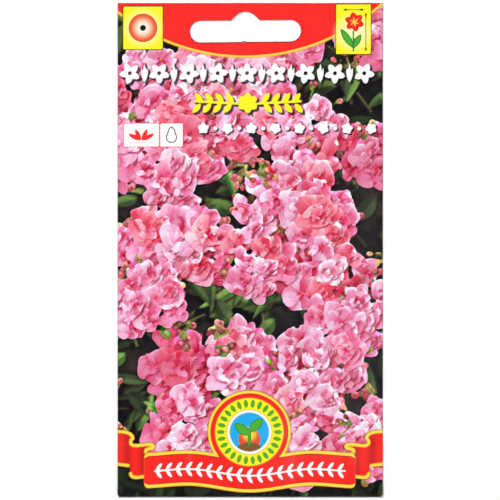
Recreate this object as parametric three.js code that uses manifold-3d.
// Seed packet: one sheet of coated paper, folded flat, glued shut and punched with a hang slot.
// Millimetres. The packet lies on its back: X across, Y up to the hang slot, Z towards the viewer.
// The back carries a lapped seam, and the bottom is closed by a tongue folded up onto the back.

import * as THREE from 'three';
import { mergeVertices } from 'three/addons/utils/BufferGeometryUtils.js';
import Module from 'manifold-3d';

const wasm = await Module();
wasm.setup();

// ---- driving dimensions ----

const WIDTH = 80;
const HEIGHT = 149;
const PAPER = 0.15; // thickness of the coated sheet
const FILM = 0.05; // thickness of a glue line
const FILL_BULGE = 2.45; // how far the front stands off the back at the middle of the pocket

const SEAM_LAP = 12; // width of the lapped seam up the back
const SEAM_LEFT = -3; // free edge of the outer flap
const JOGGLE = 1.5; // length over which paper steps onto another ply
const JOGGLE_CLEARANCE = 0.5; // from a free edge to the step beside it
const FLAP_SETBACK = 0.125; // the back flaps stop this far inside the bottom fold
const FOOT_STRIP = 1; // the front lies flat across this last strip

const TONGUE = 14; // how far the bottom tongue reaches up the back
const TONGUE_HALF_FOOT = 39.2; // its half width at the fold
const TONGUE_HALF_TIP = 35.5; // its half width at the free end
const TONGUE_CORNER = 2; // chamfer on the tip's corners
const TONGUE_ROOT = 0.5; // how far the tongue's solid reaches into the front

const HEADER = 20; // height of the glued header
const POCKET_RISE_TOP = 32; // length over which the header opens into the full pocket
const POCKET_RISE_BOTTOM = 28; // the same above the bottom fold
const POCKET_SIDE = 0.5; // flat strip beside each side fold
const POCKET_FULLNESS = 2.2; // higher makes the pocket's middle flatter
const POCKET_EASE = 1.2; // higher lets the pocket meet its sides more gently

const SLOT_LENGTH = 33.5;
const SLOT_RADIUS = 3.25; // half the slot's width, and its end radius
const SLOT_BUMP_RADIUS = 4.1; // the raised middle of the slot
const SLOT_BUMP_RISE = 2.6; // how far the bump stands above the slot
const SLOT_BELOW_TOP = 8.5; // from the top edge to the slot's centre line
const SLOT_OFFSET = -1.45; // the punch lands a little left of the middle
const SLOT_TILT = THREE.MathUtils.degToRad(0.6);

const GLUE_MARGIN = 1; // glue stays this far inside the paper's edges

const SEED_COUNT = 20;
const SEED_LENGTH = 2.6;
const SEED_WIDTH = 1.5;
const SEED_THICKNESS = 1.1;
const SEED_SPREAD = 0.12; // each seed's size varies by this share
const SEED_CLEARANCE = 0.1; // between a seed and the paper under it
const SEED_SPACING = 3.8;
const SEED_TAPER = 0.35; // how much slimmer the pointed end is
const SEED_FLATNESS = 0.8; // depth of the underside, as a share of the upper side
const FURROW_DEPTH = 0.5;
const FURROW_WIDTH = 0.12;
const SEED_ZONE = { left: -18, right: 19, bottom: -50, top: -18 };

// ---- derived sizes ----

const HALF_WIDTH = WIDTH / 2;
const TOP = HEIGHT / 2;
const BOTTOM = -HEIGHT / 2;
const LAP_RISE = PAPER + FILM; // one more ply and its glue
const SEAM_RIGHT = SEAM_LEFT + SEAM_LAP; // free edge of the inner flap
const STEP_LEFT = [SEAM_LEFT - JOGGLE_CLEARANCE - JOGGLE, SEAM_LEFT - JOGGLE_CLEARANCE];
const STEP_RIGHT = [SEAM_RIGHT + JOGGLE_CLEARANCE, SEAM_RIGHT + JOGGLE_CLEARANCE + JOGGLE];
const HEADER_LOW = TOP - HEADER;
const SLOT_Y = TOP - SLOT_BELOW_TOP;

const FRONT_UNDER_AT_FOOT = LAP_RISE + PAPER + FILM + LAP_RISE; // above the tongue, lap and glue
const FOOT_FOLD_RADIUS = (FRONT_UNDER_AT_FOOT + PAPER) / 2;
const FOOT_FOLD_Y = BOTTOM + FOOT_FOLD_RADIUS;
const FLAP_END = FOOT_FOLD_Y + FLAP_SETBACK;
const FOOT_FLAT_END = FLAP_END + FOOT_STRIP;
const TONGUE_TIP = BOTTOM + TONGUE;

const FOLD_STEPS = 4;
const FRONT_PITCH = 4; // spacing of the lofted lines across the front
const POCKET_PITCH = 5; // spacing of the lofted lines along the pocket
const CLOSEST_LINES = 0.4; // lofted lines nearer than this are merged
const ARC_STEPS = 10;
const CUT_DEPTH = 2; // how far cutting bodies reach past the paper
const CUT_MARGIN = 1; // how far a trimming outline reaches past what it keeps

// ---- small helpers ----

// Eases from 0 at one value to 1 at the other, whichever of the two is larger.
const smooth = (from, to, value) => THREE.MathUtils.smoothstep((value - from) / (to - from), 0, 1);

function seededRandom(seed) {
  let state = seed;
  return () => {
    state = (state * 1664525 + 1013904223) >>> 0;
    return state / 4294967296;
  };
}

function toSolid(geometry) {
  const bare = geometry.clone();
  bare.deleteAttribute('normal');
  bare.deleteAttribute('uv');
  const merged = mergeVertices(bare, 1e-5);
  return new wasm.Manifold(
    new wasm.Mesh({
      numProp: 3,
      vertProperties: Float32Array.from(merged.attributes.position.array),
      triVerts: Uint32Array.from(merged.index.array),
    }),
  );
}

function toGeometry(solid) {
  const mesh = solid.getMesh();
  const geometry = new THREE.BufferGeometry();
  geometry.setAttribute('position', new THREE.BufferAttribute(mesh.vertProperties, 3));
  geometry.setIndex(new THREE.BufferAttribute(mesh.triVerts, 1));
  geometry.computeVertexNormals();
  return geometry;
}

// A prism that stands on the plan outline, from low to high.
function prism(outline, low, high) {
  const geometry = new THREE.ExtrudeGeometry(outline, {
    depth: high - low,
    bevelEnabled: false,
    curveSegments: ARC_STEPS,
  });
  return geometry.translate(0, 0, low);
}

function rectangle(left, right, low, high) {
  const shape = new THREE.Shape();
  shape.moveTo(left, low);
  shape.lineTo(right, low);
  shape.lineTo(right, high);
  shape.lineTo(left, high);
  shape.closePath();
  return shape;
}

// A sheet of its own thickness: outer and inner are matching rows of points, one row per station.
function thickSheet(outer, inner) {
  const rows = outer.length;
  const columns = outer[0].length;
  const points = [...outer.flat(), ...inner.flat()];
  const index = [];
  const out = (row, column) => row * columns + column;
  const back = (row, column) => rows * columns + row * columns + column;
  const quad = (a, b, c, d) => index.push(a, c, b, a, d, c);
  for (let row = 0; row < rows - 1; row++) {
    for (let column = 0; column < columns - 1; column++) {
      quad(out(row, column), out(row, column + 1), out(row + 1, column + 1), out(row + 1, column));
      quad(back(row, column), back(row + 1, column), back(row + 1, column + 1), back(row, column + 1));
    }
    quad(out(row, 0), out(row + 1, 0), back(row + 1, 0), back(row, 0));
    const last = columns - 1;
    quad(out(row, last), back(row, last), back(row + 1, last), out(row + 1, last));
  }
  for (let column = 0; column < columns - 1; column++) {
    quad(out(0, column), back(0, column), back(0, column + 1), out(0, column + 1));
    const last = rows - 1;
    quad(out(last, column), out(last, column + 1), back(last, column + 1), back(last, column));
  }
  const geometry = new THREE.BufferGeometry();
  geometry.setAttribute('position', new THREE.Float32BufferAttribute(points.flat(), 3));
  geometry.setIndex(index);
  geometry.computeVertexNormals();
  return geometry;
}

// ---- the folded form ----

// The back lies on the ground, and steps up over the tongue at the bottom.
function backHeight(y) {
  return LAP_RISE * smooth(TONGUE_TIP + JOGGLE_CLEARANCE + 2 * JOGGLE, TONGUE_TIP + JOGGLE_CLEARANCE, y);
}

// The front follows the seam's extra ply, and lies level across the bottom strip.
function lapStep(x, y) {
  const onSeam = smooth(STEP_LEFT[0], STEP_LEFT[1], x) * smooth(STEP_RIGHT[1], STEP_RIGHT[0], x);
  const onFoot = smooth(FOOT_FLAT_END + 2 * JOGGLE, FOOT_FLAT_END, y);
  return LAP_RISE * Math.max(onSeam, onFoot);
}

// The seeds and the stiff folds hold the front away from the back.
function pocketDepth(x, y) {
  const along =
    smooth(FOOT_FLAT_END, FOOT_FLAT_END + POCKET_RISE_BOTTOM, y) *
    smooth(HEADER_LOW, HEADER_LOW - POCKET_RISE_TOP, y);
  const share = Math.min(1, Math.abs(x) / (HALF_WIDTH - POCKET_SIDE));
  return FILL_BULGE * along * (1 - share ** POCKET_FULLNESS) ** POCKET_EASE;
}

function frontUnderside(x, y) {
  return backHeight(y) + PAPER + FILM + lapStep(x, y) + pocketDepth(x, y);
}

function lengthStations() {
  const stations = [FLAP_END, FOOT_FLAT_END, FOOT_FLAT_END + JOGGLE, FOOT_FLAT_END + 2 * JOGGLE];
  const ramp = TONGUE_TIP + JOGGLE_CLEARANCE;
  for (let y = FOOT_FLAT_END + POCKET_PITCH; y < ramp - JOGGLE_CLEARANCE; y += POCKET_PITCH) stations.push(y);
  stations.push(ramp, ramp + JOGGLE, ramp + 2 * JOGGLE);
  const pocketLength = HEADER_LOW - ramp - 2 * JOGGLE;
  const steps = Math.round(pocketLength / POCKET_PITCH);
  for (let step = 1; step <= steps; step++) {
    stations.push(ramp + 2 * JOGGLE + (pocketLength * step) / steps);
  }
  stations.push(TOP);
  return stations;
}

function frontLines() {
  const lines = [...STEP_LEFT, ...STEP_RIGHT];
  const middleOfSteps = (step) => (step[0] + step[1]) / 2;
  lines.push(middleOfSteps(STEP_LEFT), middleOfSteps(STEP_RIGHT));
  for (let x = -HALF_WIDTH + FRONT_PITCH; x < HALF_WIDTH; x += FRONT_PITCH) lines.push(x);
  lines.push(HALF_WIDTH - FRONT_PITCH / 3, -HALF_WIDTH + FRONT_PITCH / 3);
  const apart = (x, at, all) => at === 0 || x - all[at - 1] > CLOSEST_LINES;
  return lines.sort((a, b) => a - b).filter(apart);
}

// One row across the packet: from the outer flap's edge, round the front, to the inner flap's edge.
function sheetRow(y, lines) {
  const outer = [];
  const inner = [];
  const add = (xOut, zOut, xIn, zIn) => {
    outer.push([xOut, y, zOut]);
    inner.push([xIn, y, zIn]);
  };
  const plate = (x, zOut, zIn) => add(x, zOut, x, zIn);
  const low = backHeight(y);
  const sideTop = frontUnderside(HALF_WIDTH, y) + PAPER;
  const foldRadius = (sideTop - low) / 2;
  const foldX = HALF_WIDTH - foldRadius;
  const foldZ = low + foldRadius;
  const fold = (side, from, to) => {
    const onArc = (radius, angle) => [
      side * (foldX + radius * Math.cos(angle)),
      foldZ + radius * Math.sin(angle),
    ];
    for (let step = 0; step <= FOLD_STEPS; step++) {
      const angle = THREE.MathUtils.lerp(from, to, step / FOLD_STEPS);
      add(...onArc(foldRadius, angle), ...onArc(foldRadius - PAPER, angle));
    }
  };
  plate(SEAM_LEFT, low, low + PAPER);
  plate(STEP_RIGHT[1], low, low + PAPER);
  fold(1, -Math.PI / 2, Math.PI / 2);
  for (const x of [...lines].reverse()) {
    const under = frontUnderside(x, y);
    plate(x, under + PAPER, under);
  }
  fold(-1, Math.PI / 2, -Math.PI / 2);
  plate(STEP_LEFT[0], low, low + PAPER);
  plate(STEP_LEFT[1], low + LAP_RISE, low + LAP_RISE + PAPER);
  plate(SEAM_RIGHT, low + LAP_RISE, low + LAP_RISE + PAPER);
  return { outer, inner };
}

function foldedTube() {
  const lines = frontLines();
  const rows = lengthStations().map((y) => sheetRow(y, lines));
  return thickSheet(
    rows.map((row) => row.outer),
    rows.map((row) => row.inner),
  );
}

// The front runs on past the bottom, turns under and lies against the back as a tongue.
function bottomTongue() {
  const top = FRONT_UNDER_AT_FOOT + PAPER;
  const rootY = FLAP_END + TONGUE_ROOT;
  const middle = FOOT_FOLD_RADIUS;
  const profile = new THREE.Shape();
  profile.moveTo(rootY, FRONT_UNDER_AT_FOOT);
  profile.lineTo(FOOT_FOLD_Y, FRONT_UNDER_AT_FOOT);
  profile.absarc(FOOT_FOLD_Y, middle, middle - PAPER, Math.PI / 2, (3 * Math.PI) / 2, false);
  profile.lineTo(TONGUE_TIP, PAPER);
  profile.lineTo(TONGUE_TIP, 0);
  profile.lineTo(FOOT_FOLD_Y, 0);
  profile.absarc(FOOT_FOLD_Y, middle, middle, (3 * Math.PI) / 2, Math.PI / 2, true);
  profile.lineTo(rootY, top);
  profile.closePath();
  const across = new THREE.Matrix4().makeBasis(
    new THREE.Vector3(0, 1, 0),
    new THREE.Vector3(0, 0, 1),
    new THREE.Vector3(1, 0, 0),
  );
  const strip = prism(profile, -HALF_WIDTH, HALF_WIDTH).applyMatrix4(across);

  const plan = new THREE.Shape();
  plan.moveTo(-TONGUE_HALF_FOOT, BOTTOM - CUT_MARGIN);
  plan.lineTo(TONGUE_HALF_FOOT, BOTTOM - CUT_MARGIN);
  plan.lineTo(TONGUE_HALF_FOOT, rootY + CUT_MARGIN);
  plan.lineTo(TONGUE_HALF_TIP, TONGUE_TIP - TONGUE_CORNER);
  plan.lineTo(TONGUE_HALF_TIP - TONGUE_CORNER, TONGUE_TIP + CUT_MARGIN);
  plan.lineTo(-TONGUE_HALF_TIP + TONGUE_CORNER, TONGUE_TIP + CUT_MARGIN);
  plan.lineTo(-TONGUE_HALF_TIP, TONGUE_TIP - TONGUE_CORNER);
  plan.lineTo(-TONGUE_HALF_FOOT, rootY + CUT_MARGIN);
  plan.closePath();
  return toSolid(strip).intersect(toSolid(prism(plan, -CUT_DEPTH, CUT_DEPTH)));
}

// Round-ended slot with a domed middle. Grow widens it all round.
function slotOutline(grow) {
  const radius = SLOT_RADIUS + grow;
  const bump = SLOT_BUMP_RADIUS + grow;
  const endX = SLOT_LENGTH / 2 - SLOT_RADIUS;
  const bumpY = SLOT_RADIUS + SLOT_BUMP_RISE - SLOT_BUMP_RADIUS;
  const shoulder = bump * Math.SQRT1_2;
  const shoulderFoot = shoulder + (bumpY + shoulder - radius);
  const shape = new THREE.Shape();
  shape.moveTo(-endX, -radius);
  shape.lineTo(endX, -radius);
  shape.absarc(endX, 0, radius, -Math.PI / 2, Math.PI / 2, false);
  shape.lineTo(shoulderFoot, radius);
  shape.absarc(0, bumpY, bump, Math.PI / 4, (3 * Math.PI) / 4, false);
  shape.lineTo(-shoulderFoot, radius);
  shape.lineTo(-endX, radius);
  shape.absarc(-endX, 0, radius, Math.PI / 2, (3 * Math.PI) / 2, false);
  return shape;
}

function slotCutter(grow) {
  const body = prism(slotOutline(grow), -CUT_DEPTH, CUT_DEPTH);
  return toSolid(body.rotateZ(SLOT_TILT).translate(SLOT_OFFSET, SLOT_Y, 0));
}

function paperEnvelope() {
  return toGeometry(toSolid(foldedTube()).add(bottomTongue()).subtract(slotCutter(0)));
}

// ---- glue ----

// The seam's glue follows the flaps where they step over the tongue.
function seamGlue() {
  const left = SEAM_LEFT + GLUE_MARGIN;
  const right = SEAM_RIGHT - GLUE_MARGIN;
  const highest = SLOT_Y - SLOT_RADIUS - GLUE_MARGIN;
  const inside = lengthStations().filter((y) => y > FLAP_END + GLUE_MARGIN / 2 && y < highest);
  const rowAt = (y, rise) => [left, right].map((x) => [x, y, backHeight(y) + PAPER + rise]);
  const stations = [...inside, highest];
  return thickSheet(
    stations.map((y) => rowAt(y, 0)),
    stations.map((y) => rowAt(y, FILM)),
  );
}

function seamGlueTop() {
  const low = SLOT_Y + SLOT_RADIUS + SLOT_BUMP_RISE + GLUE_MARGIN / 2;
  const outline = rectangle(SEAM_LEFT + GLUE_MARGIN, SEAM_RIGHT - GLUE_MARGIN, low, TOP - GLUE_MARGIN);
  return prism(outline, PAPER, PAPER + FILM);
}

function tongueGlue() {
  const half = TONGUE_HALF_TIP - 2 * TONGUE_CORNER;
  const outline = rectangle(-half, half, FLAP_END + GLUE_MARGIN, TONGUE_TIP - GLUE_MARGIN);
  return prism(outline, PAPER, LAP_RISE);
}

// Glue between the front and the back on one side of the seam, kept clear of the slot.
function headerGlue(left, right) {
  const outline = rectangle(left, right, HEADER_LOW + GLUE_MARGIN, TOP - GLUE_MARGIN);
  const body = toSolid(prism(outline, PAPER, PAPER + FILM));
  return toGeometry(body.subtract(slotCutter(GLUE_MARGIN)));
}

// ---- seeds ----

// A plump seed, blunter at one end, with a shallow furrow along its underside.
function seedGeometry(length, width, thickness) {
  const geometry = new THREE.SphereGeometry(0.5, 10, 8).rotateX(Math.PI / 2).rotateY(Math.PI / 2);
  const position = geometry.attributes.position;
  for (let at = 0; at < position.count; at++) {
    const along = position.getX(at);
    const taper = 1 - SEED_TAPER * along;
    const across = position.getY(at) * taper;
    let up = position.getZ(at) * taper;
    if (up < 0) up *= SEED_FLATNESS - FURROW_DEPTH * Math.exp(-((across / FURROW_WIDTH) ** 2));
    position.setXYZ(at, along * length, across * width, up * thickness);
  }
  return mergeVertices(geometry.deleteAttribute('normal').deleteAttribute('uv'), 1e-5);
}

function placedSeeds(material) {
  const random = seededRandom(23);
  const between = (low, high) => low + (high - low) * random();
  const seeds = [];
  while (seeds.length < SEED_COUNT) {
    const x = between(SEED_ZONE.left, SEED_ZONE.right);
    const y = between(SEED_ZONE.bottom, SEED_ZONE.top);
    const free = seeds.every((seed) => Math.hypot(seed.position.x - x, seed.position.y - y) > SEED_SPACING);
    if (!free) continue;
    const size = between(1 - SEED_SPREAD, 1 + SEED_SPREAD);
    const geometry = seedGeometry(SEED_LENGTH * size, SEED_WIDTH * size, SEED_THICKNESS * size);
    geometry.rotateZ(between(0, 2 * Math.PI));
    geometry.computeBoundingBox();
    const overSeam = x > STEP_LEFT[0] - SEED_LENGTH && x < STEP_RIGHT[1] + SEED_LENGTH;
    const floor = PAPER + (overSeam ? LAP_RISE : 0) + SEED_CLEARANCE;
    const seed = new THREE.Mesh(geometry, material);
    seed.name = `seed_${String(seeds.length + 1).padStart(2, '0')}`;
    seed.position.set(x, y, floor - geometry.boundingBox.min.z);
    seeds.push(seed);
  }
  return seeds;
}

// ---- the packet ----

const printedPaper = new THREE.MeshStandardMaterial({ color: 0xe0758c, roughness: 0.38, metalness: 0 });
const driedGlue = new THREE.MeshStandardMaterial({ color: 0xf1ecdc, roughness: 0.55, metalness: 0 });
const seedCoat = new THREE.MeshStandardMaterial({ color: 0x5a3d26, roughness: 0.8, metalness: 0 });

function named(name, geometry, material) {
  const mesh = new THREE.Mesh(geometry, material);
  mesh.name = name;
  return mesh;
}

const packet = new THREE.Group();
packet.add(named('paper_envelope', paperEnvelope(), printedPaper));

const glueLines = new THREE.Group();
const glueSide = HALF_WIDTH - 1.5 * GLUE_MARGIN;
glueLines.add(
  named('seam_glue', seamGlue(), driedGlue),
  named('seam_glue_top', seamGlueTop(), driedGlue),
  named('tongue_glue', tongueGlue(), driedGlue),
  named('header_glue_left', headerGlue(-glueSide, STEP_LEFT[0] - GLUE_MARGIN), driedGlue),
  named('header_glue_right', headerGlue(STEP_RIGHT[1] + GLUE_MARGIN, glueSide), driedGlue),
);
packet.add(glueLines);

const contents = new THREE.Group();
contents.add(...placedSeeds(seedCoat));
packet.add(contents);

export default packet;
